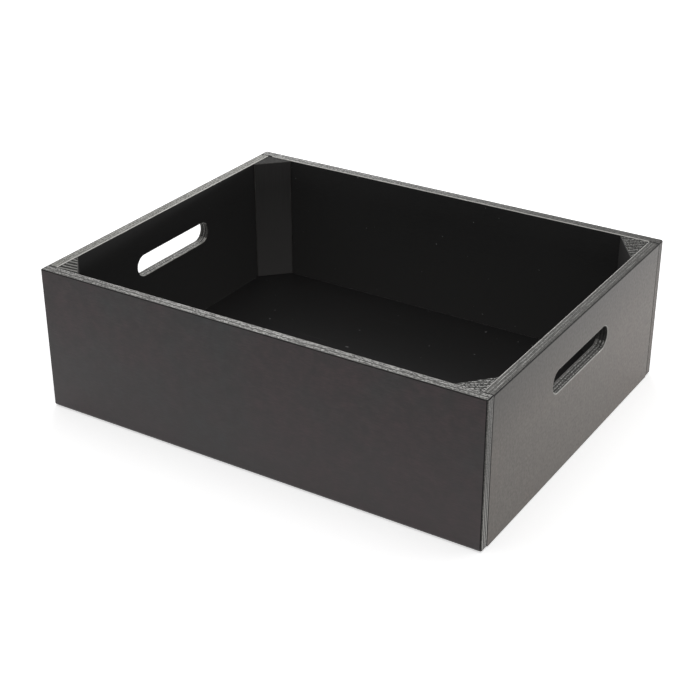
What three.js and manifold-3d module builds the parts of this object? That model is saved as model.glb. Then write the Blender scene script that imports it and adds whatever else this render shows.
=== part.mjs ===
// An open plywood crate with two hand holes. Four wall panels are glued round a base panel and
// four triangular corner posts, and a countersunk screw holds the base up to the foot of each post.
// Millimetres, +Z up. The origin is the middle of the underside, and the front faces -Y.

import * as THREE from 'three';
import { mergeVertices } from 'three/addons/utils/BufferGeometryUtils.js';
import Module from 'manifold-3d';

// Crate, over its outer faces
const crateLength = 400; // along X: the front and back panels run the whole length
const crateWidth = 315; // along Y, over the front and back panels
const crateHeight = 125;

// Plywood sheets
const wallThickness = 9;
const baseThickness = 9;
const edgeEase = 0.5; // chamfer sanded on each panel's edges
const cornerRadius = 2; // round on the long panels' upright outer corners and lower corners
const bottomRadius = 3.5; // round along the long panels' lower outer edges

// Hand hole, one in the middle of each end panel
const handHoleLength = 100;
const handHoleHeight = 19.5; // the ends are full half rounds
const handHoleDrop = 40; // from the rim down to the hole's middle
const handHoleEase = 0.5;

// Corner posts
const postLeg = 25; // along a wall
const frontPostLegX = 22; // the front posts are narrower along the front panel
const backRightPostLegY = 37; // the back right post is wider along the right panel
const postNose = 1; // blunt upright edge where the slanted face meets a wall
const postTopDrop = 0.5; // how far a post's top lies below the rim

// Countersunk base screws
const screwDiameter = 3.5;
const screwRootDiameter = 2.4;
const screwLength = 30;
const screwHeadDiameter = 7;
const screwHeadRim = 0.4;
const screwHeadSink = 0.5; // how far the head lies inside the underside
const screwTipLength = 4;
const threadPitch = 2;
const threadLength = 20; // of the screw's length, measured from its tip
const recessWidth = 1;
const recessSpan = 4;
const recessDepth = 1.6;

// Gap round a screw in its hole
const screwClearance = 0.3;

// Facets: an arc gets twice its number of divisions
const roundDivisions = 3;
const handHoleDivisions = 12;
const screwSegments = 16; // round a screw and its holes

const plywoodMaterial = { color: 0x45433f, roughness: 0.55, metalness: 0 };
const postMaterial = { color: 0x3a3835, roughness: 0.7, metalness: 0 };
const steelMaterial = { color: 0xb9b6a8, roughness: 0.35, metalness: 0.9 };

const innerLength = crateLength - 2 * wallThickness;
const innerWidth = crateWidth - 2 * wallThickness;

const wasm = await Module();
wasm.setup();

function solidOf(geometry) {
  const bare = geometry.clone();
  bare.deleteAttribute('normal');
  bare.deleteAttribute('uv');
  const merged = mergeVertices(bare);
  return new wasm.Manifold(new wasm.Mesh({
    numProp: 3,
    vertProperties: new Float32Array(merged.attributes.position.array),
    triVerts: new Uint32Array(merged.index.array),
  }));
}

function geometryOf(solid) {
  const mesh = solid.getMesh();
  const geometry = new THREE.BufferGeometry();
  geometry.setAttribute('position', new THREE.BufferAttribute(mesh.vertProperties, 3));
  geometry.setIndex(new THREE.BufferAttribute(mesh.triVerts, 1));
  geometry.computeVertexNormals();
  return geometry;
}

function rectangle(width, height) {
  const shape = new THREE.Shape();
  shape.moveTo(-width / 2, -height / 2);
  shape.lineTo(width / 2, -height / 2);
  shape.lineTo(width / 2, height / 2);
  shape.lineTo(-width / 2, height / 2);
  shape.closePath();
  return shape;
}

function roundedRectangle(width, height, radius) {
  const shape = new THREE.Shape();
  const reachX = width / 2 - radius;
  const reachY = height / 2 - radius;
  shape.absarc(reachX, -reachY, radius, -Math.PI / 2, 0, false);
  shape.absarc(reachX, reachY, radius, 0, Math.PI / 2, false);
  shape.absarc(-reachX, reachY, radius, Math.PI / 2, Math.PI, false);
  shape.absarc(-reachX, -reachY, radius, Math.PI, 1.5 * Math.PI, false);
  shape.closePath();
  return shape;
}

// A rectangle standing on y = 0 whose two lower corners are rounded.
function roundedFoot(width, height, radius) {
  const shape = new THREE.Shape();
  const reach = width / 2 - radius;
  shape.absarc(-reach, radius, radius, Math.PI, 1.5 * Math.PI, false);
  shape.absarc(reach, radius, radius, 1.5 * Math.PI, 2 * Math.PI, false);
  shape.lineTo(width / 2, height);
  shape.lineTo(-width / 2, height);
  shape.closePath();
  return shape;
}

function obround(length, height, centreY) {
  const path = new THREE.Path();
  const radius = height / 2;
  const reach = length / 2 - radius;
  path.absarc(reach, centreY, radius, -Math.PI / 2, Math.PI / 2, false);
  path.absarc(-reach, centreY, radius, Math.PI / 2, 1.5 * Math.PI, false);
  path.closePath();
  return path;
}

// A flat sheet of the given outline with all its edges chamfered, lying on z = 0.
function easedSheet(shape, thickness, ease, curveSegments) {
  const sheet = new THREE.ExtrudeGeometry(shape, {
    depth: thickness - 2 * ease,
    bevelThickness: ease,
    bevelSize: ease,
    bevelOffset: -ease,
    bevelSegments: 1,
    curveSegments,
  });
  return sheet.translate(0, 0, ease);
}

// Stand a drawing's up along +Z, with its front towards -Y or towards +X.
function standFacingFront(geometry) {
  return geometry.rotateX(Math.PI / 2);
}

function standFacingRight(geometry) {
  return geometry.rotateX(Math.PI / 2).rotateZ(Math.PI / 2);
}

// The crate's outer form as the long panels follow it, with rounded corners and lower edges.
function roundedEnvelope() {
  const straight = { bevelEnabled: false, curveSegments: roundDivisions };
  const tall = 2 * crateHeight;
  const plan = roundedRectangle(crateLength, crateWidth, cornerRadius);
  const front = roundedFoot(crateLength, tall, cornerRadius);
  const side = roundedFoot(crateWidth, tall, bottomRadius);
  const column = new THREE.ExtrudeGeometry(plan, { ...straight, depth: tall });
  const along = new THREE.ExtrudeGeometry(front, { ...straight, depth: crateWidth });
  const across = new THREE.ExtrudeGeometry(side, { ...straight, depth: crateLength });
  standFacingFront(along).translate(0, crateWidth / 2, 0);
  standFacingRight(across).translate(-crateLength / 2, 0, 0);
  return solidOf(column).intersect(solidOf(along)).intersect(solidOf(across));
}

// A post stands in each corner, which has a side of -1 or 1 along X and Y.
const corners = [
  { corner: 'front_left', sideX: -1, sideY: -1, legX: frontPostLegX, legY: postLeg },
  { corner: 'front_right', sideX: 1, sideY: -1, legX: frontPostLegX, legY: postLeg },
  { corner: 'back_right', sideX: 1, sideY: 1, legX: postLeg, legY: backRightPostLegY },
  { corner: 'back_left', sideX: -1, sideY: 1, legX: postLeg, legY: postLeg },
];

// A screw stands where its post has the most wood round it, this far from both walls.
function screwInset({ legX, legY }) {
  return (legX + legY - Math.hypot(legX, legY)) / 2;
}

function screwX(place) {
  return place.sideX * (innerLength / 2 - screwInset(place));
}

function screwY(place) {
  return place.sideY * (innerWidth / 2 - screwInset(place));
}

// A countersunk wood screw pointing up, with its head's flat on z = 0 and a cross recess in it.
function screwSolid() {
  const headRadius = screwHeadDiameter / 2;
  const threadRadius = screwDiameter / 2;
  const rootRadius = screwRootDiameter / 2;
  const threadStart = screwLength - threadLength;
  const threadEnd = screwLength - screwTipLength;
  const profile = [
    new THREE.Vector2(0, 0),
    new THREE.Vector2(headRadius, 0),
    new THREE.Vector2(headRadius, screwHeadRim),
    new THREE.Vector2(rootRadius, screwHeadRim + headRadius - rootRadius),
  ];
  for (let z = threadStart; z + threadPitch <= threadEnd; z += threadPitch) {
    profile.push(new THREE.Vector2(rootRadius, z + threadPitch / 4));
    profile.push(new THREE.Vector2(threadRadius, z + threadPitch / 2));
    profile.push(new THREE.Vector2(rootRadius, z + threadPitch * 0.75));
  }
  profile.push(new THREE.Vector2(rootRadius, threadEnd));
  profile.push(new THREE.Vector2(0, screwLength));
  const body = new THREE.LatheGeometry(profile, screwSegments).rotateX(Math.PI / 2);
  const slotShape = rectangle(recessSpan, recessWidth);
  const slot = new THREE.ExtrudeGeometry(slotShape, { depth: 2 * recessDepth, bevelEnabled: false });
  slot.translate(0, 0, -recessDepth);
  const crossing = slot.clone().rotateZ(Math.PI / 2);
  return solidOf(body).subtract(solidOf(slot)).subtract(solidOf(crossing));
}

// The hole that a screw passes through in the base: countersunk below, straight above.
function baseScrewHole() {
  const headRadius = screwHeadDiameter / 2 + screwClearance;
  const boreRadius = screwDiameter / 2 + screwClearance;
  const coneFoot = screwHeadSink + screwHeadRim;
  const profile = [
    new THREE.Vector2(0, -baseThickness),
    new THREE.Vector2(headRadius, -baseThickness),
    new THREE.Vector2(headRadius, coneFoot),
    new THREE.Vector2(boreRadius, coneFoot + headRadius - boreRadius),
    new THREE.Vector2(boreRadius, 2 * baseThickness),
    new THREE.Vector2(0, 2 * baseThickness),
  ];
  return new THREE.LatheGeometry(profile, screwSegments).rotateX(Math.PI / 2);
}

// The blind hole in a post's foot, which starts below the foot and ends past the screw's tip.
function postScrewHole() {
  const radius = screwDiameter / 2 + screwClearance;
  const end = screwHeadSink + screwLength + screwClearance;
  const profile = [
    new THREE.Vector2(0, 0),
    new THREE.Vector2(radius, 0),
    new THREE.Vector2(radius, end - radius),
    new THREE.Vector2(0, end),
  ];
  return new THREE.LatheGeometry(profile, screwSegments).rotateX(Math.PI / 2);
}

// The front or the back panel, whose outer face lies at +Y or -Y times half the crate's width.
function longPanel(sideY) {
  const outline = rectangle(crateLength, crateHeight);
  const sheet = standFacingFront(easedSheet(outline, wallThickness, edgeEase, 1));
  const innerFaceY = crateWidth / 2 - wallThickness;
  sheet.translate(0, sideY > 0 ? crateWidth / 2 : -innerFaceY, crateHeight / 2);
  return geometryOf(solidOf(sheet).intersect(roundedEnvelope()));
}

// The hand hole's mouths are chamfered more than the panel's edges, so the hole comes as a frame
// larger than the panel, with its own chamfer, which the panel is cut with.
function endPanel() {
  const outline = rectangle(innerWidth, crateHeight);
  const sheet = easedSheet(outline, wallThickness, edgeEase, 1);
  const surround = rectangle(2 * crateWidth, 2 * crateHeight);
  surround.holes.push(obround(handHoleLength, handHoleHeight, crateHeight / 2 - handHoleDrop));
  const frame = easedSheet(surround, wallThickness, handHoleEase, handHoleDivisions);
  const pierced = geometryOf(solidOf(sheet).intersect(solidOf(frame)));
  return standFacingRight(pierced).translate(0, 0, crateHeight / 2);
}

function basePanel() {
  const outline = rectangle(innerLength, innerWidth);
  let solid = solidOf(easedSheet(outline, baseThickness, edgeEase, 1));
  for (const place of corners) {
    const hole = baseScrewHole().translate(screwX(place), screwY(place), 0);
    solid = solid.subtract(solidOf(hole));
  }
  return geometryOf(solid);
}

// A corner post in its place.
function cornerPost(place) {
  const inX = -place.sideX;
  const inY = -place.sideY;
  const outline = new THREE.Shape();
  outline.moveTo(0, 0);
  outline.lineTo(inX * place.legX, 0);
  outline.lineTo(inX * place.legX, inY * postNose);
  outline.lineTo(inX * postNose, inY * place.legY);
  outline.lineTo(0, inY * place.legY);
  outline.closePath();
  const height = crateHeight - baseThickness - postTopDrop;
  const post = new THREE.ExtrudeGeometry(outline, { depth: height, bevelEnabled: false });
  post.translate(place.sideX * innerLength / 2, place.sideY * innerWidth / 2, baseThickness);
  const hole = postScrewHole().translate(screwX(place), screwY(place), 0);
  return geometryOf(solidOf(post).subtract(solidOf(hole)));
}

const crate = new THREE.Group();

function addMesh(name, geometry, material) {
  const mesh = new THREE.Mesh(geometry, new THREE.MeshStandardMaterial(material));
  mesh.name = name;
  crate.add(mesh);
  return mesh;
}

addMesh('front_panel', longPanel(-1), plywoodMaterial);
addMesh('back_panel', longPanel(1), plywoodMaterial);
addMesh('left_panel', endPanel().translate(-crateLength / 2, 0, 0), plywoodMaterial);
addMesh('right_panel', endPanel().translate(innerLength / 2, 0, 0), plywoodMaterial);
addMesh('base_panel', basePanel(), plywoodMaterial);

for (const place of corners) {
  addMesh('corner_post_' + place.corner, cornerPost(place), postMaterial);
  const screw = addMesh('base_screw_' + place.corner, geometryOf(screwSolid()), steelMaterial);
  screw.position.set(screwX(place), screwY(place), screwHeadSink);
}

export default crate;
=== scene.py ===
import math

import bmesh
import bpy
from mathutils import Matrix, Vector, noise
from mathutils.geometry import delaunay_2d_cdt


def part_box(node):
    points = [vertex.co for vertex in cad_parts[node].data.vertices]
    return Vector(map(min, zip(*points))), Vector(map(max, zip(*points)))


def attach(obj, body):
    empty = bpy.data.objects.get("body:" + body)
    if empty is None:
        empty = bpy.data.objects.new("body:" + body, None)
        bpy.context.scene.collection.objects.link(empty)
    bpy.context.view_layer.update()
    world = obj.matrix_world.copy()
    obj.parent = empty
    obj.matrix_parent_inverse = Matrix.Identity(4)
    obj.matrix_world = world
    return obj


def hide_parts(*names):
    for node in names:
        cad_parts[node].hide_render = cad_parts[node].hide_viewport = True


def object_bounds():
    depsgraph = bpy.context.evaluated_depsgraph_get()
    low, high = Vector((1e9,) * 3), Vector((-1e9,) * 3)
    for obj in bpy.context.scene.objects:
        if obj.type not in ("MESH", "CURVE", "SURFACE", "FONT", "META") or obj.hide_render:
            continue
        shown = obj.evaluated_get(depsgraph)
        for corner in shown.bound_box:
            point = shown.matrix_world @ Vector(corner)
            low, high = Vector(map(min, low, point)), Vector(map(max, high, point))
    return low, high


# An open crate of black film-faced birch plywood, with a hand hole in each end and a post in each
# corner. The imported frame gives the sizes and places; every visible piece is remade here with
# rounded arrises, the plies of its cut edges and a procedural finish.
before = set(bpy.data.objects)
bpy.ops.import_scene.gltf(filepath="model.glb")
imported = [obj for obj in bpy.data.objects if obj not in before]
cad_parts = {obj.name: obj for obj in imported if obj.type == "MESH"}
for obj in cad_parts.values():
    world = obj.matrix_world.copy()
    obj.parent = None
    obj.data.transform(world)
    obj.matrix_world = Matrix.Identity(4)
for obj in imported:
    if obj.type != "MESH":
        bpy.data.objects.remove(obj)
cad_low, cad_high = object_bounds()

MM = 0.001
BODY = "root"

# ---------------------------------------------------------------- sizes that the frame doesn't give

PLY_COUNT = 7
GLUE_LINE = 0.16 * MM  # width of the dark line between two plies
GLUE_GROOVE = 0.07 * MM  # how deep it lies in a cut edge
END_GRAIN_SINK = 0.04 * MM  # end grain sands a little lower than side grain
FILM_EDGE = 0.6 * MM  # black film and sealer along an outer arris

TOP_ROUND = 0.6 * MM
END_TOP_ROUND = 1.2 * MM  # the end panels' outer top arris
INNER_ROUND = 0.5 * MM
CORNER_ROUND = 2 * MM  # upright outer corners, all on the long panels
BOTTOM_ROUND = 3.5 * MM  # lower outer edges of the long panels
SEAM_ROUND = 0.5 * MM  # where two panels meet
UPPER_CORNER = 0.9 * MM  # a panel's corners as seen from its face
LOWER_CORNER = 2 * MM
LEAST_CORNER = 0.3 * MM

HAND_HOLE_LENGTH = 100 * MM
HAND_HOLE_HEIGHT = 19.5 * MM
HAND_HOLE_DROP = 40 * MM  # from the rim to the hole's middle
HAND_HOLE_ROUND = 0.8 * MM  # at the outer face
HAND_HOLE_INNER_ROUND = 0.3 * MM

POST_NOSE = 1 * MM
POST_ROUND = 0.45 * MM
POST_ROUND_SEGMENTS = 3

SCREW_CLEARANCE = 0.3 * MM
SCREW_THREAD = 3.5 * MM
SCREW_ROOT = 2.4 * MM
SCREW_HEAD_RIM = 0.4 * MM
SCREW_PITCH = 2 * MM
SCREW_THREAD_LENGTH = 20 * MM
SCREW_TIP = 4 * MM
SCREW_RIDGE = 0.22  # half the width of the thread's ridge, as a part of the pitch
SCREW_RUN_OUT = 1.6  # how much later than the core the thread starts to taper
RECESS_SPAN = 4 * MM
RECESS_WIDTH = 1 * MM
RECESS_DEPTH = 1.6 * MM
RECESS_FLOOR_SPAN = RECESS_SPAN / 2.5  # the cross narrows towards its floor
RECESS_FLOOR_WIDTH = RECESS_WIDTH / 1.5

JOINT_STAIN = 1 * MM  # dark stain beside a joint
HAND_HOLE_ARRIS = 0.56 * MM  # how far the outer arris's finish reaches into a hand hole
PAINTED_EDGE = 3 * MM  # black sealer along the outer arris of the back panel's painted end
SEEN_ROUND_A_CORNER = 0.06  # part of an upright corner's radius that the face's film covers
WEAR = 0.10 * MM  # most that handling has taken off an arris
WEAR_DEPTH = 1.5 * MM  # how far in from a face the wear reaches
WEAR_SCALE = 90  # dents per metre
MOUTH_EASE = 0.25 * MM  # chamfer round a screw hole's mouth

VENEER_RELIEF = 0.12 * MM  # height of the grain in the bump of a face, and of a cut edge
CUT_RELIEF = 0.10 * MM

EDGE_STEP = 4 * MM  # spacing of points along the edges of a wall, a post and the base
POST_STEP = 2 * MM
BASE_STEP = 6 * MM
STATION_GAP = 0.02 * MM  # stations through a sheet that are nearer than this are one
AT_GLUE = 0.01 * MM  # a station this near the middle of a glue line is on it
CORNER_STEPS = 4  # round a wall's corner as seen from its face
ROUND_STEPS = 4  # over the round of a wall's edge, and over those of its foot and the base
BOTTOM_ROUND_STEPS = 7
BASE_ROUND_STEPS = 3
HAND_HOLE_STEPS = 24  # round each end of a hand hole
BORE_STEPS = 32  # round a post's bore, a screw hole in the base and a screw
MOUTH_STEPS = 48
SCREW_STEPS = 32
POST_LEVELS = 24  # up a post
TURN_STEPS = 10  # up one turn of a screw's thread

STEEP = 0.7  # how far up or down a hand hole's edge faces where its plies count as level
SLANTED = 0.2  # how far towards both sides a corner's edge faces where the sealer covers it
SHARP_WALL = 40  # degrees between two faces from which an edge is shaded sharp
SHARP_POST = 30
SHARP_BASE = 30
SHARP_SCREW = 28
BEVEL_FROM = 35  # degrees from which a post's edge is rounded


def box_of(node):
    low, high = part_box(node)
    return low, high, high - low


front_low, _, front_size = box_of("front_panel")
_, back_high, _ = box_of("back_panel")
left_low, _, _ = box_of("left_panel")
_, right_high, right_size = box_of("right_panel")
base_low, base_high, base_size = box_of("base_panel")
WALL = front_size.y
PLY = WALL / PLY_COUNT


# ---------------------------------------------------------------- materials


class Finish:
    """A new Principled material. Sockets take a constant or another node's output."""

    def __init__(self, name, roughness=0.5, specular=0.5):
        self.material = bpy.data.materials.new(name)
        self.material.use_nodes = True
        self.tree = self.material.node_tree
        self.shader = self.tree.nodes["Principled BSDF"]
        self.place = self.add("ShaderNodeTexCoord").outputs["Object"]
        self.put("Roughness", roughness)
        self.put("Specular IOR Level", specular)

    def set(self, socket, value):
        if isinstance(value, bpy.types.NodeSocket):
            self.tree.links.new(value, socket)
        else:
            socket.default_value = value

    def put(self, socket, value):
        self.set(self.shader.inputs[socket], value)

    def add(self, kind, inputs=None, **settings):
        node = self.tree.nodes.new(kind)
        for name, value in settings.items():
            setattr(node, name, value)
        for name, value in (inputs or {}).items():
            self.set(node.inputs[name], value)
        return node

    def mapped(self, stretch=(1, 1, 1), turn=(0, 0, 0)):
        inputs = {"Vector": self.place, "Scale": stretch, "Rotation": turn}
        return self.add("ShaderNodeMapping", inputs).outputs["Vector"]

    def noise(self, scale, detail=2, stretch=(1, 1, 1), roughness=0.5):
        inputs = {
            "Vector": self.mapped(stretch),
            "Scale": scale,
            "Detail": detail,
            "Roughness": roughness,
        }
        return self.add("ShaderNodeTexNoise", inputs).outputs["Fac"]

    def span(self, value, low, high, to_low=0.0, to_high=1.0):
        inputs = {
            "Value": value,
            "From Min": low,
            "From Max": high,
            "To Min": to_low,
            "To Max": to_high,
        }
        return self.add("ShaderNodeMapRange", inputs).outputs["Result"]

    def times(self, first, second):
        node = self.add("ShaderNodeMath", operation="MULTIPLY")
        self.set(node.inputs[0], first)
        self.set(node.inputs[1], second)
        return node.outputs["Value"]

    def mix(self, factor, first, second):
        """A blend of two colours. Sockets 6 and 7 and output 2 are those for colours."""
        node = self.add("ShaderNodeMix", data_type="RGBA")
        for index, value in ((0, factor), (6, first), (7, second)):
            if isinstance(value, tuple):
                value = (*value, 1.0)
            self.set(node.inputs[index], value)
        return node.outputs[2]

    def along(self, axis):
        return self.add("ShaderNodeSeparateXYZ", {"Vector": self.place}).outputs[axis]

    def height(self):
        """The height above the crate's foot."""
        return self.along("Z")

    def distance(self, axis, place):
        """How far away a place on the axis is."""
        offset = self.add("ShaderNodeMath", operation="SUBTRACT")
        self.set(offset.inputs[0], self.along(axis))
        self.set(offset.inputs[1], place)
        size = self.add("ShaderNodeMath", operation="ABSOLUTE")
        self.set(size.inputs[0], offset.outputs["Value"])
        return size.outputs["Value"]

    def bump(self, height, strength, distance):
        inputs = {"Height": height, "Strength": strength, "Distance": distance}
        self.put("Normal", self.add("ShaderNodeBump", inputs).outputs["Normal"])

    def veneer_flecks(self, grain):
        return self.span(self.noise(1, 5, stretch=grain, roughness=0.6), 0.38, 0.66)

    def veneer_relief(self, grain):
        self.bump(self.noise(1, 5, stretch=grain, roughness=0.65), 0.25, VENEER_RELIEF)


def film(name, dark, light, tint, grain, roughness, specular, foot=None, painted_shade_head=None):
    """Phenolic film over the face veneer, whose grain shows through as faint flecks. The colour
    towards which it changes at the crate's foot is painted light, for the floor's bounce, and the
    colour towards which it darkens near the rim is painted shade."""
    finish = Finish(name, specular=specular)
    clouds = finish.span(finish.noise(8, 6, roughness=0.7), 0.38, 0.58)
    blotches = finish.span(finish.noise(110, 5, roughness=0.6), 0.35, 0.65)
    scuffs = finish.span(finish.noise(45, 5, roughness=0.7), 0.58, 0.70, 0, 0.5)
    tone = finish.mix(clouds, tint, light)
    tone = finish.mix(finish.times(blotches, 0.6), tone, dark)
    tone = finish.mix(finish.times(finish.veneer_flecks(grain), 0.7), tone, dark)
    tone = finish.mix(scuffs, tone, dark)
    # Painted light: the film lightens towards the foot, for the floor's bounce.
    if foot:
        tone = finish.mix(finish.span(finish.height(), cad_high.z, cad_low.z, 0, 0.5), tone, foot)
    # Painted shade: the film darkens towards the rim.
    if painted_shade_head:
        tone = finish.mix(finish.span(finish.height(), PAINTED_SHADE_FOOT, PAINTED_SHADE_TOP, 0, 0.8), tone, painted_shade_head)
    finish.put("Base Color", tone)
    mesh = finish.noise(420, 3)  # pressed into the film
    finish.put("Roughness", finish.span(mesh, 0.3, 0.7, roughness - 0.05, roughness + 0.06))
    finish.veneer_relief(grain)
    return finish.material


def inner_film(name, dark, light, grain, specular, speck_level, painted_light_foot=None, scratched=0.0):
    """The black film inside the crate, with pale specks, scratches and painted light that lightens it
    towards the foot, where the walls lie in shade.
    """
    finish = Finish(name, 0.45, specular)
    clouds = finish.span(finish.noise(14, 4), 0.3, 0.7)
    tone = finish.mix(finish.times(finish.veneer_flecks(grain), clouds), light, dark)
    # Painted light: lighter towards the foot, where the inner walls lie in shade.
    if painted_light_foot:
        tone = finish.mix(finish.span(finish.height(), PAINTED_LIGHT_TOP, PAINTED_LIGHT_FOOT), tone, painted_light_foot)
    if scratched:
        lines = finish.span(finish.noise(1, 2, stretch=SCRATCH), 0.72, 0.76, 0, scratched)
        tone = finish.mix(lines, tone, SPECK)
    specks = finish.span(finish.noise(SPECKS, 0), speck_level, speck_level + 0.02)
    finish.put("Base Color", finish.mix(specks, tone, SPECK))
    finish.veneer_relief(grain)
    return finish.material


def cut_plies(
    name,
    dark,
    light,
    stretch,
    contrast=(0.35, 0.65),
    roughness=0.5,
    specular=0.5,
    dashes=None,
    foot=None,
    painted_sheen=None,
):
    """Stained cut edge of a ply. The stretch is high across the lines of its grain. Dashes break it
    up, an upright edge may change towards the foot, and a rim may get a painted sheen that darkens it
    along its length."""
    finish = Finish(name, roughness, specular)
    grain = finish.noise(1, 4, stretch=stretch, roughness=0.6)
    tone = finish.mix(finish.span(grain, *contrast), dark, light)
    if dashes:
        dash_stretch, strength = dashes
        gaps = finish.noise(1, 2, stretch=dash_stretch)
        tone = finish.mix(finish.span(gaps, 0.50, 0.56, 0, strength), tone, dark)
    if foot:
        tone = finish.mix(finish.span(finish.height(), RUBBED_TOP, RUBBED_FOOT), tone, foot)
    # Painted sheen: the rim darkens away from its palest place, where the key light's sheen falls.
    if painted_sheen:
        axis, palest, reach, strength = painted_sheen
        tone = finish.mix(finish.span(finish.distance(axis, palest), 0, reach, 0, strength), tone, dark)
    finish.put("Base Color", tone)
    finish.bump(grain, 0.4, CUT_RELIEF)
    return finish.material


def wood(name, dark, light, stretch, roughness, specular, foot=None):
    """Stained solid wood. The stretch is low along the grain."""
    finish = Finish(name, roughness, specular)
    grain = finish.noise(1, 5, stretch=stretch, roughness=0.6)
    clouds = finish.noise(30, 3)
    tone = finish.mix(finish.span(grain, 0.35, 0.65), dark, light)
    tone = finish.mix(finish.span(clouds, 0.35, 0.75, 0, 0.35), tone, dark)
    # Painted light: lighter towards the foot, where the post lies in shade.
    if foot:
        tone = finish.mix(finish.span(finish.height(), PAINTED_LIGHT_TOP, PAINTED_LIGHT_FOOT), tone, foot)
    finish.put("Base Color", tone)
    finish.bump(grain, 0.35, VENEER_RELIEF)
    return finish.material


def growth_rings(name, turn, spacing, waver, dashed, light):
    """A post's sawn top: growth rings as wavy stripes, broken up by dashes and pores."""
    finish = Finish(name, 0.7, 0.12)
    inputs = {
        "Vector": finish.mapped(turn=(0, 0, math.radians(turn))),
        "Scale": math.pi / 10 / spacing,  # at a scale of 1 the rings lie pi / 10 apart
        "Distortion": waver,
        "Detail": 3,
        "Detail Scale": 2.5,
        "Detail Roughness": 0.6,
    }
    settings = {"wave_type": "BANDS", "bands_direction": "Y", "wave_profile": "SIN"}
    wave = finish.add("ShaderNodeTexWave", inputs, **settings)
    pores = finish.noise(1, 4, stretch=(1500, 1500, 600))
    dashes = finish.noise(DASHES, 2)
    tone = finish.mix(finish.span(wave.outputs["Fac"], 0.2, 0.4), light, TOP_DARK)
    tone = finish.mix(finish.span(dashes, 0.46, 0.54, 0, dashed), tone, TOP_DARK)
    tone = finish.mix(finish.span(pores, 0.4, 0.7, 0, 0.4), tone, TOP_DARK)
    finish.put("Base Color", tone)
    finish.bump(pores, 0.4, CUT_RELIEF)
    return finish.material


def even(scale):
    """A noise stretch that is the same every way."""
    return (scale, scale, scale)


def lines_along(axis, along, across):
    """A noise stretch that gives lines in every direction but this axis, across a sheet."""
    return tuple(across if i == "xyz".index(axis) else along for i in range(3))


# Film on the end panels, the long panels, the inside of the walls and the base. The end panels' and
# the long panels' film are one film painted as a lit and a shaded copy, lighter on the end panels
# for the light from the right side
FILM_DARK = (0.047, 0.040, 0.0345)
FILM_LIGHT = (0.078, 0.068, 0.058)
FILM_TINT = (0.084, 0.066, 0.055)
# Painted shade: the end panels' film darkens towards this near the rim.
FILM_PAINTED_SHADE = (0.022, 0.019, 0.0165)
FRONT_DARK = (0.021, 0.020, 0.020)
FRONT_LIGHT = (0.057, 0.037, 0.040)
FRONT_TINT = (0.034, 0.042, 0.042)
# Painted light: the long panels' film lightens towards this at the foot, for the floor's bounce.
FRONT_PAINTED_BOUNCE = (0.098, 0.085, 0.087)
INSIDE_DARK = (0.021, 0.021, 0.021)
INSIDE_LIGHT = (0.0285, 0.028, 0.028)
# Painted light that the inner walls lighten towards at the foot.
INSIDE_PAINTED_LIGHT = (0.052, 0.051, 0.050)
BASE_DARK = (0.0085, 0.0085, 0.0085)
BASE_LIGHT = (0.0115, 0.011, 0.011)
SPECK = (0.20, 0.20, 0.20)
SPECKS = 300  # tries for a speck of dust per metre
SCRATCH = (9, 700, 9)  # scratches run along the floor

# Heights between which painted light lightens the inside and the posts towards the foot, an upright
# cut edge is rubbed and painted shade darkens an end panel towards the rim
PAINTED_LIGHT_TOP, PAINTED_LIGHT_FOOT = 0.10, 0.01
RUBBED_TOP, RUBBED_FOOT = 0.07, 0.02
PAINTED_SHADE_TOP, PAINTED_SHADE_FOOT = 0.12, 0.075

# Sealer, stain and bare wood on arrises, joints and bores; the pale wood of a worn inner arris is also
# painted brighter as a highlight
BLACK = (0.012, 0.012, 0.012)
STAIN = (0.05, 0.048, 0.045)
WORN_HIGHLIGHT = (0.62, 0.61, 0.58)
HOLE_ARRIS = (0.26, 0.255, 0.24)
BASE_ARRIS = (0.16, 0.157, 0.15)
BARE_DARK = (0.18, 0.13, 0.08)
BARE_LIGHT = (0.34, 0.26, 0.17)

# Posts: the faces, their arrises and the sawn tops
POST_DARK = (0.034, 0.033, 0.0325)
POST_LIGHT = (0.041, 0.0395, 0.039)
# Painted light that a post's faces lighten towards at the foot.
POST_PAINTED_LIGHT = (0.095, 0.092, 0.090)
POST_ARRIS = (0.09, 0.088, 0.084)
TOP_DARK = (0.008, 0.008, 0.007)
TOP_LIGHT = (0.30, 0.296, 0.28)
TOP_PALE = (0.75, 0.745, 0.72)
TOP_DIM = (0.40, 0.395, 0.38)
DASHES = 650  # dark flecks per metre of a post's top

ZINC_DARK = (0.42, 0.40, 0.34)
ZINC_LIGHT = (0.62, 0.60, 0.53)

# Dark flecks on a cut edge: their stretch and strength, by the axis of the sheet's thickness
DASH_STRETCH = {"x": (800, 400, 800), "y": (400, 800, 800), "z": (400, 400, 800)}
DASH_STRENGTH = {"x": 0.55, "y": 0.82, "z": 0.5}
# Stretch along and across the sheet, and contrast, of a ply that shows side grain or end grain
GRAIN_LINES = {"side": (70, 2400, (0.36, 0.62)), "end": (650, 1500, (0.42, 0.60))}

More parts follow.
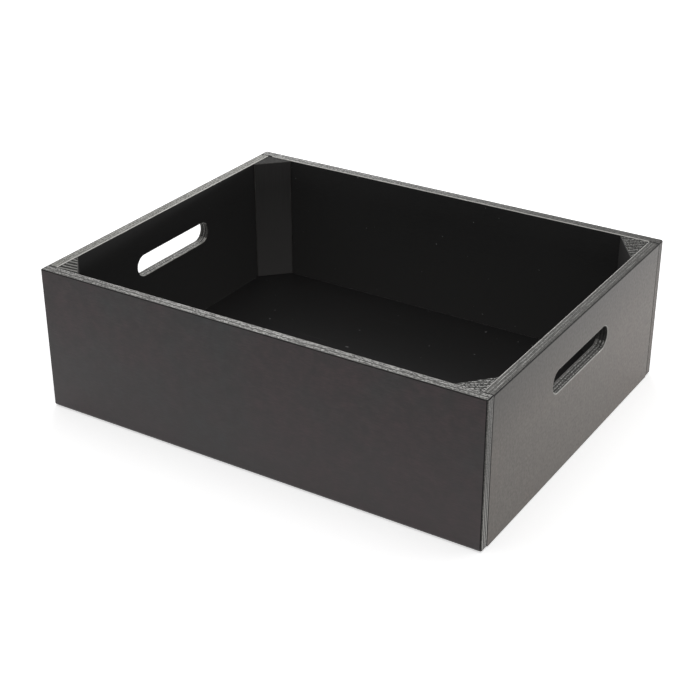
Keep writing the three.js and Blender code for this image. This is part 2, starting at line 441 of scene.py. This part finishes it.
# Darkest and palest stain on a ply, by tone, and what two of them change to at the crate's foot
PLY_TONES = {
    "black": ((0.012, 0.012, 0.011), (0.032, 0.031, 0.029)),
    "dark": ((0.020, 0.020, 0.019), (0.075, 0.073, 0.068)),
    "middle": ((0.065, 0.063, 0.059), (0.185, 0.180, 0.170)),
    "fair": ((0.045, 0.043, 0.040), (0.240, 0.235, 0.220)),
    "pale": ((0.050, 0.048, 0.045), (0.480, 0.475, 0.455)),
    # Painted light: a paler copy of the stain for the left panel, which the key light reaches more.
    "bare": ((0.100, 0.098, 0.088), (0.560, 0.558, 0.518)),
    "bright": ((0.050, 0.048, 0.045), (0.900, 0.895, 0.865)),
    "rubbed": ((0.075, 0.073, 0.070), (0.230, 0.225, 0.215)),
    "inked": ((0.035, 0.034, 0.032), (0.130, 0.127, 0.120)),
}
PLY_FOOT = {"rubbed": (0.300, 0.295, 0.280), "inked": (0.005, 0.005, 0.005)}

# Each rim's painted sheen darkens it along an axis: where it is palest, how far the darkening goes and
# its strength
RIM_PAINTED_SHEEN = {
    "front": ("X", 0.02, 0.20, 0.4),
    "back": ("X", -0.20, 0.30, 0.8),
    "right": ("Y", -0.16, 0.22, 0.45),
    "left": ("Y", 0.16, 0.32, 0.2),
}

# Tones of the seven plies from the outer face inwards, by where they show
FRONT_TONES = {
    "rim": "front",
    "level": ("middle", "bright", "bright", "fair", "bright", "bright", "bright"),
    "upright": ("middle", "rubbed", "inked", "rubbed", "inked", "rubbed", "inked"),
}
BACK_TONES = {
    "rim": "back",
    "level": ("middle", "pale", "bright", "middle", "bright", "pale", "bright"),
    "upright": ("middle", "fair", "middle", "fair", "dark", "fair", "middle"),
}
RIGHT_TONES = {
    "rim": "right",
    "level": ("fair", "middle", "pale", "middle", "pale", "middle", "pale"),
    "upright": ("middle",) * PLY_COUNT,
    "hole_level": ("dark", "pale", "dark", "pale", "dark", "pale", "middle"),
    "hole_upright": ("black", "dark", "black", "dark", "black", "dark", "black"),
}
# Painted light: the left panel's rim and hand hole get paler ply tones, for the light from the left.
LEFT_TONES = {
    "rim": "left",
    "level": ("middle", "bare", "bare", "bare", "bare", "bare", "bare"),
    "upright": ("middle",) * PLY_COUNT,
    "hole_level": ("bright", "middle", "bare", "bright", "fair", "bright", "bare"),
    "hole_upright": ("dark", "middle", "black", "pale", "dark", "middle", "dark"),
}


def zinc(name):
    finish = Finish(name)
    clouds = finish.span(finish.noise(500, 3), 0.3, 0.7)
    finish.put("Metallic", 1.0)
    finish.put("Base Color", finish.mix(clouds, ZINC_DARK, ZINC_LIGHT))
    finish.put("Roughness", finish.span(finish.noise(1500, 2), 0.3, 0.7, 0.28, 0.42))
    return finish.material


def make_finishes():
    """All finishes but those of the plies, by the name that the meshes use."""
    end = (FILM_DARK, FILM_LIGHT, FILM_TINT, even(420))
    front = (FRONT_DARK, FRONT_LIGHT, FRONT_TINT, (180, 180, 1400))
    inside = (INSIDE_DARK, INSIDE_LIGHT, (180, 180, 900))
    base = (BASE_DARK, BASE_LIGHT, (900, 180, 180))
    post = (POST_DARK, POST_LIGHT, (900, 900, 40))
    return {
        "film_front": film("film_front", *front, roughness=0.42, specular=0.3, foot=FRONT_PAINTED_BOUNCE),
        "film_end": film("film_end", *end, roughness=0.42, specular=0.3, painted_shade_head=FILM_PAINTED_SHADE),
        "film_inside": inner_film(
            "film_inside", *inside, specular=0.2, speck_level=0.885, painted_light_foot=INSIDE_PAINTED_LIGHT
        ),
        "film_base": inner_film("film_base", *base, specular=0.22, speck_level=0.86, scratched=0.12),
        "film_edge": cut_plies("film_edge", BLACK, STAIN, even(700), (0.5, 0.9), 0.8, 0.15),
        "glue": cut_plies("glue_line", BLACK, STAIN, even(900), (0.4, 0.8), 0.8, 0.15),
        "worn": cut_plies("worn_arris_highlight", STAIN, WORN_HIGHLIGHT, even(300), (0.15, 0.45), 0.5, 0.4),
        "hole_arris": cut_plies("hole_arris", STAIN, HOLE_ARRIS, even(300), (0.15, 0.45), 0.6, 0.25),
        "base_arris": cut_plies("base_arris", BLACK, BASE_ARRIS, even(300), (0.35, 0.55)),
        "bare_bore": cut_plies("bare_bore", BARE_DARK, BARE_LIGHT, (900, 900, 1500)),
        "post_face": wood("post_face", *post, 0.6, 0.25, POST_PAINTED_LIGHT),
        "post_arris": wood("post_arris", STAIN, POST_ARRIS, (500, 500, 60), 0.7, 0.15),
        "post_top": cut_plies("post_end_grain", BLACK, STAIN, even(900)),
        "post_top_front_left": growth_rings("post_rings_wavy", -5, 4.3 * MM, 1.4, 0.2, TOP_LIGHT),
        "post_top_front_right": growth_rings("post_rings_pale", -30, 2.3 * MM, 1.4, 0.8, TOP_PALE),
        "post_top_back_right": growth_rings("post_rings_dark", -27, 3.3 * MM, 1.6, 0.8, TOP_DIM),
        "post_top_back_left": wood("post_top_plain", BLACK, STAIN, even(500), 0.75, 0.1),
        "zinc": zinc("zinc_plate"),
    }


finishes = make_finishes()


def ply_finish(tone, grain, axis, rim=None):
    """The name of the finish of a ply's cut edge, in a sheet whose thickness lies along the axis."""
    name = "_".join(("ply", tone, grain, rim or axis))
    if name not in finishes:
        along, across, contrast = GRAIN_LINES[grain]
        finishes[name] = cut_plies(
            name,
            *PLY_TONES[tone],
            lines_along(axis, along, across),
            contrast,
            roughness=0.6,
            specular=0.2,
            dashes=(DASH_STRETCH[axis], DASH_STRENGTH[axis]),
            foot=PLY_FOOT.get(tone),
            painted_sheen=RIM_PAINTED_SHEEN.get(rim),
        )
    return name


# ---------------------------------------------------------------- mesh building


def signed_area(outline):
    pairs = zip(outline, outline[1:] + outline[:1])
    return sum(a.x * b.y - b.x * a.y for a, b in pairs) / 2


class Shell:
    """A closed mesh made of rings of points, bridged one to the next, and flat caps."""

    def __init__(self, *material_names):
        self.mesh = bmesh.new()
        self.material_names = list(material_names)

    def index(self, material_name):
        if material_name not in self.material_names:
            self.material_names.append(material_name)
        return self.material_names.index(material_name)

    def ring(self, points):
        return [self.mesh.verts.new(p) for p in points]

    def bridge(self, first, second, material_of):
        count = len(first)
        for i in range(count):
            j = (i + 1) % count
            face = self.mesh.faces.new((first[i], first[j], second[j], second[i]))
            face.material_index = self.index(material_of(i))

    def cap(self, rings, flat, material_name):
        """A flat face bounded by the first ring, with the other rings as holes. Flat gives u and v."""
        verts, spots, loops = [], [], []
        for ring in rings:
            outline = [flat(vert.co) for vert in ring]
            loop = list(range(len(verts), len(verts) + len(ring)))
            loops.append(loop if signed_area(outline) > 0 else loop[::-1])
            verts += ring
            spots += outline
        _, _, faces, origins, _, within = delaunay_2d_cdt(spots, [], loops, 1, 1e-7)
        for face, inside in zip(faces, within):
            if len(inside) == 1:
                corners = [verts[origins[i][0]] for i in face]
                self.mesh.faces.new(corners).material_index = self.index(material_name)

    def fan(self, ring, tip, material_name):
        top = self.mesh.verts.new(tip)
        for i, vert in enumerate(ring):
            face = self.mesh.faces.new((vert, ring[(i + 1) % len(ring)], top))
            face.material_index = self.index(material_name)

    def piece(self, name, sharp_angle):
        bmesh.ops.recalc_face_normals(self.mesh, faces=self.mesh.faces)
        data = bpy.data.meshes.new(name)
        self.mesh.to_mesh(data)
        self.mesh.free()
        for material_name in self.material_names:
            data.materials.append(finishes[material_name])
        data.shade_smooth()
        data.set_sharp_from_angle(angle=math.radians(sharp_angle))
        thing = bpy.data.objects.new(name, data)
        bpy.context.scene.collection.objects.link(thing)
        return thing


def stand_for(thing, node):
    """The piece takes a CAD node's place."""
    normals = thing.modifiers.new("weighted_normals", "WEIGHTED_NORMAL")
    normals.keep_sharp = True
    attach(thing, BODY)
    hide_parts(node)


def rounded_in(depth, radius):
    """How far a rounded edge lies in from the square one, at this depth from its face."""
    if depth >= radius:
        return 0.0
    return radius - math.sqrt(max(0.0, radius**2 - (radius - depth) ** 2))


def arc_depths(radius, steps):
    return [radius * (1 - math.cos(math.pi / 2 * k / steps)) for k in range(steps + 1)]


def off_glue_line(depth, ply):
    """How far a depth lies from the middle of the nearest glue line."""
    nearest = min(PLY_COUNT - 1, max(1, round(depth / ply)))
    return abs(depth - nearest * ply)


def glue_stations(ply):
    """Depths at the middle and the sides of each glue line."""
    return {k * ply + side for k in range(1, PLY_COUNT) for side in (-GLUE_LINE / 2, 0, GLUE_LINE / 2)}


def wall_stations():
    """Depths from a wall's outer face at which the section of its cut edge has a point."""
    depths = glue_stations(PLY)
    for radius in (TOP_ROUND, END_TOP_ROUND, HAND_HOLE_ROUND):
        depths.update(arc_depths(radius, ROUND_STEPS))
    depths.update(arc_depths(BOTTOM_ROUND, BOTTOM_ROUND_STEPS))
    depths.update(WALL - d for d in arc_depths(INNER_ROUND, ROUND_STEPS))
    depths.update((FILM_EDGE, WALL - FILM_EDGE, CORNER_ROUND * SEEN_ROUND_A_CORNER))
    kept = []
    for depth in sorted(depths):
        if not kept or depth - kept[-1] > STATION_GAP:
            kept.append(depth)
    return kept[:-1] + [WALL]


def ply_at(depth):
    return min(PLY_COUNT - 1, int(depth / PLY))


def shows_side_grain(depth, level):
    """The odd veneers run along a panel and the others up it. Level is true on a level edge."""
    return (ply_at(depth) % 2 == 0) == level


def relief(depth, level):
    """How far the plies' own relief lies under the sanded edge."""
    sunk = 0.0 if shows_side_grain(depth, level) else END_GRAIN_SINK
    if off_glue_line(depth, PLY) < AT_GLUE:
        sunk += GLUE_GROOVE
    return sunk


class EdgeRounds:
    """Radii of one edge of a wall, at its outer and at its inner face."""

    def __init__(self, outer, inner):
        self.outer = outer
        self.inner = inner

    def inset(self, depth, level):
        curve = rounded_in(depth, self.outer) + rounded_in(WALL - depth, self.inner)
        return curve + (relief(depth, level) if self.inner < depth < WALL - self.inner else 0.0)


def arc(centre, radius, start, steps, sweep=math.pi / 2):
    """Points and outward directions over a sweep from the start angle."""
    made = []
    for k in range(steps + 1):
        angle = start + sweep * k / steps
        away = Vector((math.cos(angle), math.sin(angle)))
        made.append((Vector(centre) + radius * away, away))
    return made


def joined(arcs, counts, sides):
    """A closed ring of (point, outward direction, side) out of arcs and the straights after them."""
    made = []
    for k, points in enumerate(arcs):
        side_before = sides[k - 1]
        for point, away in points:
            made.append((point, away, side_before))
        made[-1] = (*points[-1], sides[k])
        end, away = points[-1]
        following = arcs[(k + 1) % len(arcs)][0][0]
        for i in range(1, counts[k]):
            made.append((end.lerp(following, i / counts[k]), away, sides[k]))
    return made


class Wall:
    """A plywood wall: u runs along it, v up it and depth in from its outer face. Place gives their
    point in space. Painted names the end whose plies the face's film colour covers."""

    def __init__(self, length, height, place, rounds, tones, hole_rounds=None, painted=None):
        self.length = length
        self.height = height
        self.place = place
        self.rounds = rounds
        self.hole_rounds = hole_rounds
        self.tones = tones
        self.painted = painted
        foot = rounds["bottom"].outer
        self.filmed_foot = foot / 2 if foot > CORNER_ROUND else 0.0

    def outline(self, depth):
        inset = {side: self.rounds[side].inset(depth, side in ("top", "bottom")) for side in self.rounds}
        left, right = inset["left"] - self.length / 2, self.length / 2 - inset["right"]
        bottom, top = inset["bottom"], self.height - inset["top"]
        low = max(LEAST_CORNER, LOWER_CORNER - inset["bottom"] / 2)
        high = UPPER_CORNER
        steps = CORNER_STEPS
        arcs = [
            arc((right - low, bottom + low), low, -math.pi / 2, steps),
            arc((right - high, top - high), high, 0, steps),
            arc((left + high, top - high), high, math.pi / 2, steps),
            arc((left + low, bottom + low), low, math.pi, steps),
        ]
        along = round(self.length / EDGE_STEP)
        up = round(self.height / EDGE_STEP)
        return joined(arcs, (up, along, up, along), ("right", "top", "left", "bottom"))

    def hole(self, depth):
        radius = HAND_HOLE_HEIGHT / 2 + self.hole_rounds.inset(depth, True)
        reach = (HAND_HOLE_LENGTH - HAND_HOLE_HEIGHT) / 2
        middle = self.height - HAND_HOLE_DROP
        arcs = [
            arc((reach, middle), radius, -math.pi / 2, HAND_HOLE_STEPS, math.pi),
            arc((-reach, middle), radius, math.pi / 2, HAND_HOLE_STEPS, math.pi),
        ]
        along = round(2 * reach / EDGE_STEP)
        return joined(arcs, (along, along), ("hole", "hole"))

    def worn(self, ring, depth, inward):
        """The ring's points in space, with what handling has taken off the arrises."""
        near_face = max(0.0, 1 - min(depth, WALL - depth) / WEAR_DEPTH)
        points = []
        for point, away, _ in ring:
            where = Vector((point.x, point.y, depth))
            taken = WEAR * near_face * max(0.0, noise.noise(self.place(*where) * WEAR_SCALE))
            u, v = point - inward * taken * away
            points.append(self.place(u, v, depth))
        return points

    def flat(self, point):
        """The face's own u and v of a point in space."""
        origin, along = self.place(0, 0, 0), self.place(1, 0, 0) - self.place(0, 0, 0)
        return Vector(((point - origin).dot(along), point.z))

    def material_of(self, ring, depth, outside, axis):
        """Names the finish of each strip of the cut edge at this depth."""

        def named(i):
            point, away, side = ring[i]
            level = side in ("top", "bottom") or (side == "hole" and abs(away.y) > STEEP)
            place = ("hole_" if side == "hole" else "") + ("level" if level else "upright")
            if side == "hole":
                covered = "hole_arris" if depth < HAND_HOLE_ARRIS else None
            else:
                covered = self.covering(point, away, side, depth, outside)
            if covered:
                return covered
            if off_glue_line(depth, PLY) < GLUE_LINE / 2:
                return "glue"
            grain = "side" if shows_side_grain(depth, level) else "end"
            rim = self.tones["rim"] if place == "level" else None
            return ply_finish(self.tones[place][ply_at(depth)], grain, axis, rim)

        return named

    def covering(self, point, away, side, depth, outside):
        """The film, sealer, paint or wear that hides the plies at a point of the outer edge."""
        radius = self.rounds[side].outer
        if side in ("left", "right") and radius > depth / SEEN_ROUND_A_CORNER:
            return outside
        if self.at_joint(point, away, depth):
            return "film_edge"
        if side == self.painted:
            return "film_edge" if radius == CORNER_ROUND and depth < PAINTED_EDGE else "film_end"
        if side == "bottom" and depth < self.filmed_foot:
            return outside
        if depth < FILM_EDGE:
            return "film_edge"
        # The inner arris is worn pale wood, painted brighter as a highlight.
        return "worn" if WALL - depth < FILM_EDGE else None

    def at_joint(self, point, away, depth):
        """Whether the edge is dark here: round the upper corners and where another wall meets it."""
        if point.y > self.height / 2 and min(abs(away.x), abs(away.y)) > SLANTED:
            return True
        near_end = abs(point.x) > self.length / 2 - WALL - JOINT_STAIN
        return not self.hole_rounds and near_end and WALL - depth < FILM_EDGE

    def piece(self, name, outside, axis):
        """Outside is the finish of the outer face, and the axis is that of the wall's thickness."""
        shell = Shell(outside, "film_inside")
        depths = wall_stations()
        rows = [(self.outline, 1)]
        if self.hole_rounds:
            rows.append((self.hole, -1))
        first, last = [], []
        for outline, inward in rows:
            before = None
            for k, depth in enumerate(depths):
                ring = outline(depth)
                verts = shell.ring(self.worn(ring, depth, inward))
                if before:
                    middle = (depth + depths[k - 1]) / 2
                    shell.bridge(before, verts, self.material_of(ring, middle, outside, axis))
                else:
                    first.append(verts)
                before = verts
            last.append(before)
        shell.cap(first, self.flat, outside)
        shell.cap(last, self.flat, "film_inside")
        return shell.piece(name, SHARP_WALL)


def edge_rounds(top, bottom, upright):
    """Rounds of a wall's four edges, from the radii at its outer face."""
    return {
        "top": EdgeRounds(top, INNER_ROUND),
        "bottom": EdgeRounds(bottom, SEAM_ROUND),
        "left": EdgeRounds(upright, SEAM_ROUND),
        "right": EdgeRounds(upright, SEAM_ROUND),
    }


def build_walls():
    """The front and back panels run the crate's whole length, and the end panels fit between."""
    long_rounds = edge_rounds(TOP_ROUND, BOTTOM_ROUND, CORNER_ROUND)
    end_rounds = edge_rounds(END_TOP_ROUND, SEAM_ROUND, SEAM_ROUND)
    hole_rounds = EdgeRounds(HAND_HOLE_ROUND, HAND_HOLE_INNER_ROUND)

    def front(u, v, depth):
        return Vector((u, front_low.y + depth, v))

    def back(u, v, depth):
        return Vector((-u, back_high.y - depth, v))

    def right(u, v, depth):
        return Vector((right_high.x - depth, u, v))

    def left(u, v, depth):
        return Vector((left_low.x + depth, -u, v))

    long_walls = (("front_panel", front, FRONT_TONES, None), ("back_panel", back, BACK_TONES, "left"))
    for name, place, tones, painted in long_walls:
        wall = Wall(front_size.x, front_size.z, place, long_rounds, tones, None, painted)
        stand_for(wall.piece(name + "_plywood", "film_front", "y"), name)
    short_walls = (("right_panel", right, RIGHT_TONES, "right"), ("left_panel", left, LEFT_TONES, None))
    for name, place, tones, painted in short_walls:
        wall = Wall(right_size.y, right_size.z, place, end_rounds, tones, hole_rounds, painted)
        stand_for(wall.piece(name + "_plywood", "film_end", "x"), name)


build_walls()


# ---------------------------------------------------------------- corner posts, base and screws


def circle(centre, radius, count):
    """Points of a ring round a centre, as (x, y)."""
    turns = [2 * math.pi * k / count for k in range(count)]
    return [Vector((centre[0] + radius * math.cos(a), centre[1] + radius * math.sin(a))) for a in turns]


def flat_xy(point):
    return Vector((point.x, point.y))


def at_height(points, z):
    return [Vector((p.x, p.y, z)) for p in points]


def spaced(corners, steps_of):
    """Points along a closed polygon. Steps_of says how many a side gets, from its two corners."""
    points = []
    for k, corner in enumerate(corners):
        here, following = Vector(corner), Vector(corners[(k + 1) % len(corners)])
        steps = steps_of(here, following)
        points += [here.lerp(following, i / steps) for i in range(steps)]
    return points


def round_arrises(thing, material_index):
    bevel = thing.modifiers.new("arris", "BEVEL")
    bevel.width = POST_ROUND
    bevel.segments = POST_ROUND_SEGMENTS
    bevel.limit_method = "ANGLE"
    bevel.angle_limit = math.radians(BEVEL_FROM)
    bevel.harden_normals = False
    bevel.material = material_index


def build_post(corner, across, along):
    """A triangular post. Across and along are the signs of its corner's x and y."""
    name = "corner_post_" + corner
    low, high, size = box_of(name)
    screw_low, screw_high, _ = box_of("base_screw_" + corner)
    corner_x = high.x if across > 0 else low.x
    corner_y = high.y if along > 0 else low.y

    def place(x, y, z):
        return Vector((corner_x - across * x, corner_y - along * y, z))

    def ring(points, z):
        return shell.ring(place(p.x, p.y, z) for p in points)

    outline = [(0, 0), (size.x, 0), (size.x, POST_NOSE), (POST_NOSE, size.y), (0, size.y)]
    points = spaced(outline, lambda a, b: max(1, round((b - a).length / POST_STEP)))
    bore = SCREW_THREAD / 2 + SCREW_CLEARANCE
    middle = flat_xy((screw_low + screw_high) / 2)
    around = circle(middle, bore, BORE_STEPS)
    hole = [Vector((across * (corner_x - p.x), along * (corner_y - p.y))) for p in around]
    shell = Shell("post_face", "post_top", "post_arris")
    foot = ring(points, low.z)
    before = foot
    for k in range(1, POST_LEVELS + 1):
        above = ring(points, low.z + (high.z - low.z) * k / POST_LEVELS)
        shell.bridge(before, above, lambda i: "post_face")
        before = above
    tip_z = screw_high.z + SCREW_CLEARANCE
    mouth = ring(hole, low.z)
    deep = ring(hole, tip_z - bore)
    shell.bridge(mouth, deep, lambda i: "post_face")
    shell.fan(deep, Vector((middle.x, middle.y, tip_z)), "post_face")
    shell.cap([foot, mouth], flat_xy, "post_top")
    shell.cap([before], flat_xy, "post_top_" + corner)
    thing = shell.piece(name + "_wood", SHARP_POST)
    round_arrises(thing, shell.index("post_arris"))
    stand_for(thing, name)


CORNERS = {
    "front_left": (-1, -1),
    "front_right": (1, -1),
    "back_right": (1, 1),
    "back_left": (-1, 1),
}


def base_outlines():
    """The base's rings from the underside up, as pairs of a height in the sheet and its points."""
    ease, thickness = SEAM_ROUND, base_size.z
    ply = thickness / PLY_COUNT
    eased = set(arc_depths(ease, BASE_ROUND_STEPS))
    steps_x, steps_y = round(base_size.x / BASE_STEP), round(base_size.y / BASE_STEP)
    made = []
    for z in sorted(eased | {thickness - d for d in eased} | glue_stations(ply)):
        inset = rounded_in(z, ease) + rounded_in(thickness - z, ease)
        if off_glue_line(z, ply) < AT_GLUE:
            inset += GLUE_GROOVE
        x, y = base_size.x / 2 - inset, base_size.y / 2 - inset
        corners = [(x, -y), (x, y), (-x, y), (-x, -y)]
        points = spaced(corners, lambda a, b: steps_y if a.x == b.x else steps_x)
        made.append((z, at_height(points, base_low.z + z)))
    return made


def base_edge_finish(depth):
    ply = base_size.z / PLY_COUNT
    if off_glue_line(depth, ply) < GLUE_LINE / 2:
        return "glue"
    if depth > base_size.z - SEAM_ROUND / 2:
        return "base_arris"
    return ply_finish("dark" if int(depth / ply) % 2 else "middle", "side", "z")


def screw_hole(shell, corner):
    """A countersunk through hole. Returns its lower and its upper ring."""
    screw_low, screw_high, screw_size = box_of("base_screw_" + corner)
    middle = flat_xy((screw_low + screw_high) / 2)
    head_radius = screw_size.x / 2 + SCREW_CLEARANCE
    bore = SCREW_THREAD / 2 + SCREW_CLEARANCE
    cone_foot = screw_low.z + SCREW_HEAD_RIM
    profile = [
        (head_radius + MOUTH_EASE, base_low.z),
        (head_radius, base_low.z + MOUTH_EASE),
        (head_radius, cone_foot),
        (bore, cone_foot + head_radius - bore),
        (bore, base_high.z),
    ]
    rings = [shell.ring(at_height(circle(middle, r, MOUTH_STEPS), z)) for r, z in profile]
    for lower, upper in zip(rings, rings[1:]):
        shell.bridge(lower, upper, lambda i: "bare_bore")
    return rings[0], rings[-1]


def build_base():
    shell = Shell("film_base")
    rings = [(z, shell.ring(points)) for z, points in base_outlines()]
    for (low_z, lower), (high_z, upper) in zip(rings, rings[1:]):
        name = base_edge_finish((low_z + high_z) / 2)
        shell.bridge(lower, upper, lambda i, name=name: name)
    lower_mouths, upper_mouths = zip(*(screw_hole(shell, corner) for corner in CORNERS))
    shell.cap([rings[0][1], *lower_mouths], flat_xy, "film_base")
    shell.cap([rings[-1][1], *upper_mouths], flat_xy, "film_base")
    stand_for(shell.piece("base_panel_plywood", SHARP_BASE), "base_panel")


def cross_ring(shell, middle, z, reach, half):
    """A ring round a cross that reaches this far from the middle, with arms this much half wide."""
    points = []
    for quarter in range(4):
        turn = Matrix.Rotation(quarter * math.pi / 2, 2)
        points += [middle + turn @ Vector(p) for p in ((reach, -half), (reach, half), (half, half))]
    return shell.ring(at_height(points, z))


def build_screw(corner):
    """A countersunk screw with a real helical thread and a tapered cross recess in its head."""
    name = "base_screw_" + corner
    low, high, size = box_of(name)
    middle = flat_xy((low + high) / 2)
    length, head_radius = size.z, size.x / 2
    root, thread = SCREW_ROOT / 2, SCREW_THREAD / 2
    cone_top = SCREW_HEAD_RIM + head_radius - root
    start = length - SCREW_THREAD_LENGTH
    tip_start = length - SCREW_TIP

    def radius_at(angle, z):
        """The screw's surface, with the thread's ridge where the helix passes."""
        if z <= SCREW_HEAD_RIM:
            return head_radius
        if z <= cone_top:
            return head_radius - (z - SCREW_HEAD_RIM)
        taper = 1.0 if z < tip_start else max(0.0, (length - z) / SCREW_TIP)
        core = root * taper
        if z < start - SCREW_PITCH / 2:
            return core
        phase = (z / SCREW_PITCH - angle / (2 * math.pi)) % 1.0
        ridge = max(0.0, 1 - abs(phase - 0.5) / SCREW_RIDGE)
        run_in = min(1.0, max(0.0, (z - start) / SCREW_PITCH))
        return core + (thread - root) * ridge * run_in * min(1.0, taper * SCREW_RUN_OUT)

    heights = [0.0, SCREW_HEAD_RIM / 2, SCREW_HEAD_RIM]
    heights += [SCREW_HEAD_RIM + (cone_top - SCREW_HEAD_RIM) * k / 4 for k in range(1, 5)]
    heights += [cone_top + (start - SCREW_PITCH - cone_top) * k / 3 for k in range(1, 4)]
    fine = SCREW_PITCH / TURN_STEPS
    z = heights[-1] + fine
    while z < length - fine:
        heights.append(z)
        z += fine
    angles = [2 * math.pi * i / SCREW_STEPS for i in range(SCREW_STEPS)]
    shell = Shell("zinc")
    rings = []
    for z in heights:
        spots = [(radius_at(a, z), a) for a in angles]
        points = [middle + Vector((r * math.cos(a), r * math.sin(a))) for r, a in spots]
        rings.append(shell.ring(at_height(points, low.z + z)))
    for lower, upper in zip(rings, rings[1:]):
        shell.bridge(lower, upper, lambda i: "zinc")
    shell.fan(rings[-1], Vector((middle.x, middle.y, high.z)), "zinc")
    mouth = cross_ring(shell, middle, low.z, RECESS_SPAN / 2, RECESS_WIDTH / 2)
    floor_z = low.z + RECESS_DEPTH
    floor = cross_ring(shell, middle, floor_z, RECESS_FLOOR_SPAN / 2, RECESS_FLOOR_WIDTH / 2)
    shell.bridge(mouth, floor, lambda i: "zinc")
    shell.cap([rings[0], mouth], flat_xy, "zinc")
    shell.cap([floor], flat_xy, "zinc")
    stand_for(shell.piece(name + "_steel", SHARP_SCREW), name)


for corner, (across, along) in CORNERS.items():
    build_post(corner, across, along)
    build_screw(corner)
build_base()


# ---------------------------------------------------------------- studio


FLOOR_WHITE = 0.85
FLOOR_GLOW = 0.55  # what the floor adds where it is seen
FLOOR_REACH = 12.0  # metres from the middle to each side
FLOOR_DROP = 0.1 * MM  # how far the floor lies under the crate
FILL_LEVEL = 0.42  # of the world's light on surfaces

# Softboxes: azimuth and elevation in degrees, distance, width and height in metres, and level
SOFTBOXES = {
    "key_behind_left": (215, 24, 2.2, 0.9, 1.1, 0.30),
    "top": (0, 85, 2.2, 1.6, 1.6, 0.28),
    "right_side": (132, 3, 1.8, 1.2, 0.2, 0.88),
}

CAMERA_AZIMUTH = 32.06  # degrees, as are the next two
CAMERA_ELEVATION = 27.88
CAMERA_ROLL = -0.12
CAMERA_DISTANCE = 1.2419
CAMERA_LENS = 76.85  # mm, on a sensor this wide
CAMERA_SENSOR = 36
CAMERA_AIM = (0.0, -0.0124, 0.0426)


def seen_or_mirrored(tree):
    """1 where the camera sees a surface, straight, in a mirror or through glass, and else 0."""
    sight = tree.nodes.new("ShaderNodeLightPath")
    total = sight.outputs["Is Camera Ray"]
    for name in ("Is Glossy Ray", "Is Transmission Ray"):
        plus = tree.nodes.new("ShaderNodeMath")
        plus.operation = "ADD"
        plus.use_clamp = True
        tree.links.new(total, plus.inputs[0])
        tree.links.new(sight.outputs[name], plus.inputs[1])
        total = plus.outputs["Value"]
    return total


def build_floor():
    """A plain white floor. It adds white only where it is seen, so it keeps the crate's shadow."""
    finish = Finish("studio_floor")
    output = finish.tree.nodes["Material Output"]
    finish.tree.nodes.remove(finish.shader)
    glow = finish.times(seen_or_mirrored(finish.tree), FLOOR_GLOW)
    white = (FLOOR_WHITE, FLOOR_WHITE, FLOOR_WHITE, 1)
    matt = finish.add("ShaderNodeBsdfDiffuse", {"Color": white})
    light = finish.add("ShaderNodeEmission", {"Strength": glow})
    both = finish.add("ShaderNodeAddShader")
    finish.set(both.inputs[0], matt.outputs[0])
    finish.set(both.inputs[1], light.outputs[0])
    finish.set(output.inputs["Surface"], both.outputs[0])
    signs = [(-1, -1), (1, -1), (1, 1), (-1, 1)]
    corners = [(x * FLOOR_REACH, y * FLOOR_REACH, cad_low.z - FLOOR_DROP) for x, y in signs]
    data = bpy.data.meshes.new("studio_floor")
    data.from_pydata(corners, [], [(0, 1, 2, 3)])
    data.materials.append(finish.material)
    floor = bpy.data.objects.new("studio_floor", data)
    bpy.context.scene.collection.objects.link(floor)


def build_world():
    """White where it is seen or mirrored, and a softer fill light on everything else."""
    world = bpy.data.worlds.new("studio")
    bpy.context.scene.world = world
    world.use_nodes = True
    tree = world.node_tree
    level = tree.nodes.new("ShaderNodeMapRange")
    level.inputs["To Min"].default_value = FILL_LEVEL
    level.inputs["To Max"].default_value = 1.0
    tree.links.new(seen_or_mirrored(tree), level.inputs["Value"])
    background = tree.nodes["Background"]
    background.inputs["Color"].default_value = (1, 1, 1, 1)
    tree.links.new(level.outputs["Result"], background.inputs["Strength"])


def direction(azimuth, elevation):
    """Where a viewer or lamp stands. Azimuth 0 is in front of the crate and 90 on its right."""
    a, e = math.radians(azimuth), math.radians(elevation)
    return Vector((math.sin(a) * math.cos(e), -math.cos(a) * math.cos(e), math.sin(e)))


def soft_light(name, azimuth, elevation, distance, width, height, level):
    """A softbox. Its level is how bright it makes a white card that faces it at the crate."""
    data = bpy.data.lights.new(name, "AREA")
    data.shape = "RECTANGLE"
    data.size = width
    data.size_y = height
    data.energy = level * math.pi**2 * distance**2
    lamp = bpy.data.objects.new(name, data)
    away = direction(azimuth, elevation)
    lamp.location = away * distance
    lamp.rotation_mode = "QUATERNION"
    lamp.rotation_quaternion = away.to_track_quat("Z", "Y")
    bpy.context.scene.collection.objects.link(lamp)


def build_camera():
    data = bpy.data.cameras.new("camera")
    data.sensor_width = CAMERA_SENSOR
    data.lens = CAMERA_LENS
    camera = bpy.data.objects.new("camera", data)
    away = direction(CAMERA_AZIMUTH, CAMERA_ELEVATION)
    camera.location = Vector(CAMERA_AIM) + away * CAMERA_DISTANCE
    roll = Matrix.Rotation(math.radians(CAMERA_ROLL), 3, "Z").to_quaternion()
    camera.rotation_mode = "QUATERNION"
    camera.rotation_quaternion = away.to_track_quat("Z", "Y") @ roll
    bpy.context.scene.collection.objects.link(camera)
    bpy.context.scene.camera = camera


build_floor()
build_world()
for name, softbox in SOFTBOXES.items():
    soft_light(name, *softbox)
build_camera()
bpy.context.scene.view_settings.view_transform = "Standard"
